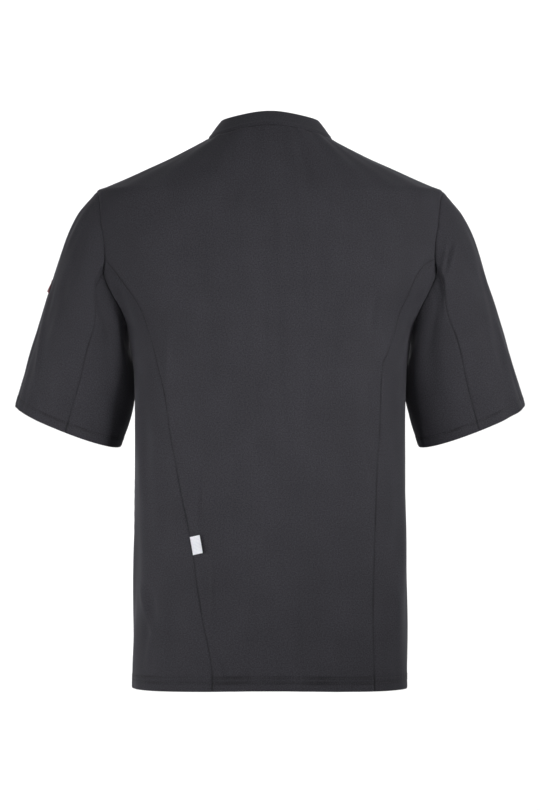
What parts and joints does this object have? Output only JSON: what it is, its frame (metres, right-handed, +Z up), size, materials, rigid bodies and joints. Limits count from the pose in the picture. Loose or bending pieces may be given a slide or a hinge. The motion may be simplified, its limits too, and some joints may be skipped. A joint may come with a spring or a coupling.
{
  "type": "chef jacket",
  "caption": "Short-sleeved chef jacket with a stand collar and slanting back seams, hollow as worn, open at neck, hem and cuffs.",
  "frame": {"origin": "on the garment's middle line, inside the neck hole, level with where the shoulders meet the collar at each side", "axes": "+Z up, +Y towards the back, so the front faces -Y, and +X towards the wearer's left"},
  "size_m": [0.6839, 0.2449, 0.7678],
  "materials": {
    "body_cloth": "smooth matt woven cloth with a little stretch, charcoal",
    "collar_cloth": "two layers of the same charcoal cloth, pressed",
    "stud": "satin dark moulded plastic",
    "white_tag": "bare white woven tape",
    "red_tab": "bare dark red woven tape"
  },
  "bodies": {
    "root": {"back": "body_cloth", "side_back_left": "body_cloth", "front_left": "body_cloth", "sleeve_upper_left": "body_cloth", "sleeve_under_left": "body_cloth", "side_back_right": "body_cloth", "front_right": "body_cloth", "sleeve_upper_right": "body_cloth", "sleeve_under_right": "body_cloth", "collar": "collar_cloth", "stud_1": "stud", "stud_2": "stud", "stud_3": "stud", "stud_4": "stud", "stud_5": "stud", "stud_6": "stud", "stud_7": "stud", "seam_tag": "white_tag", "sleeve_tab": "red_tab"}
  },
  "joints": []
}
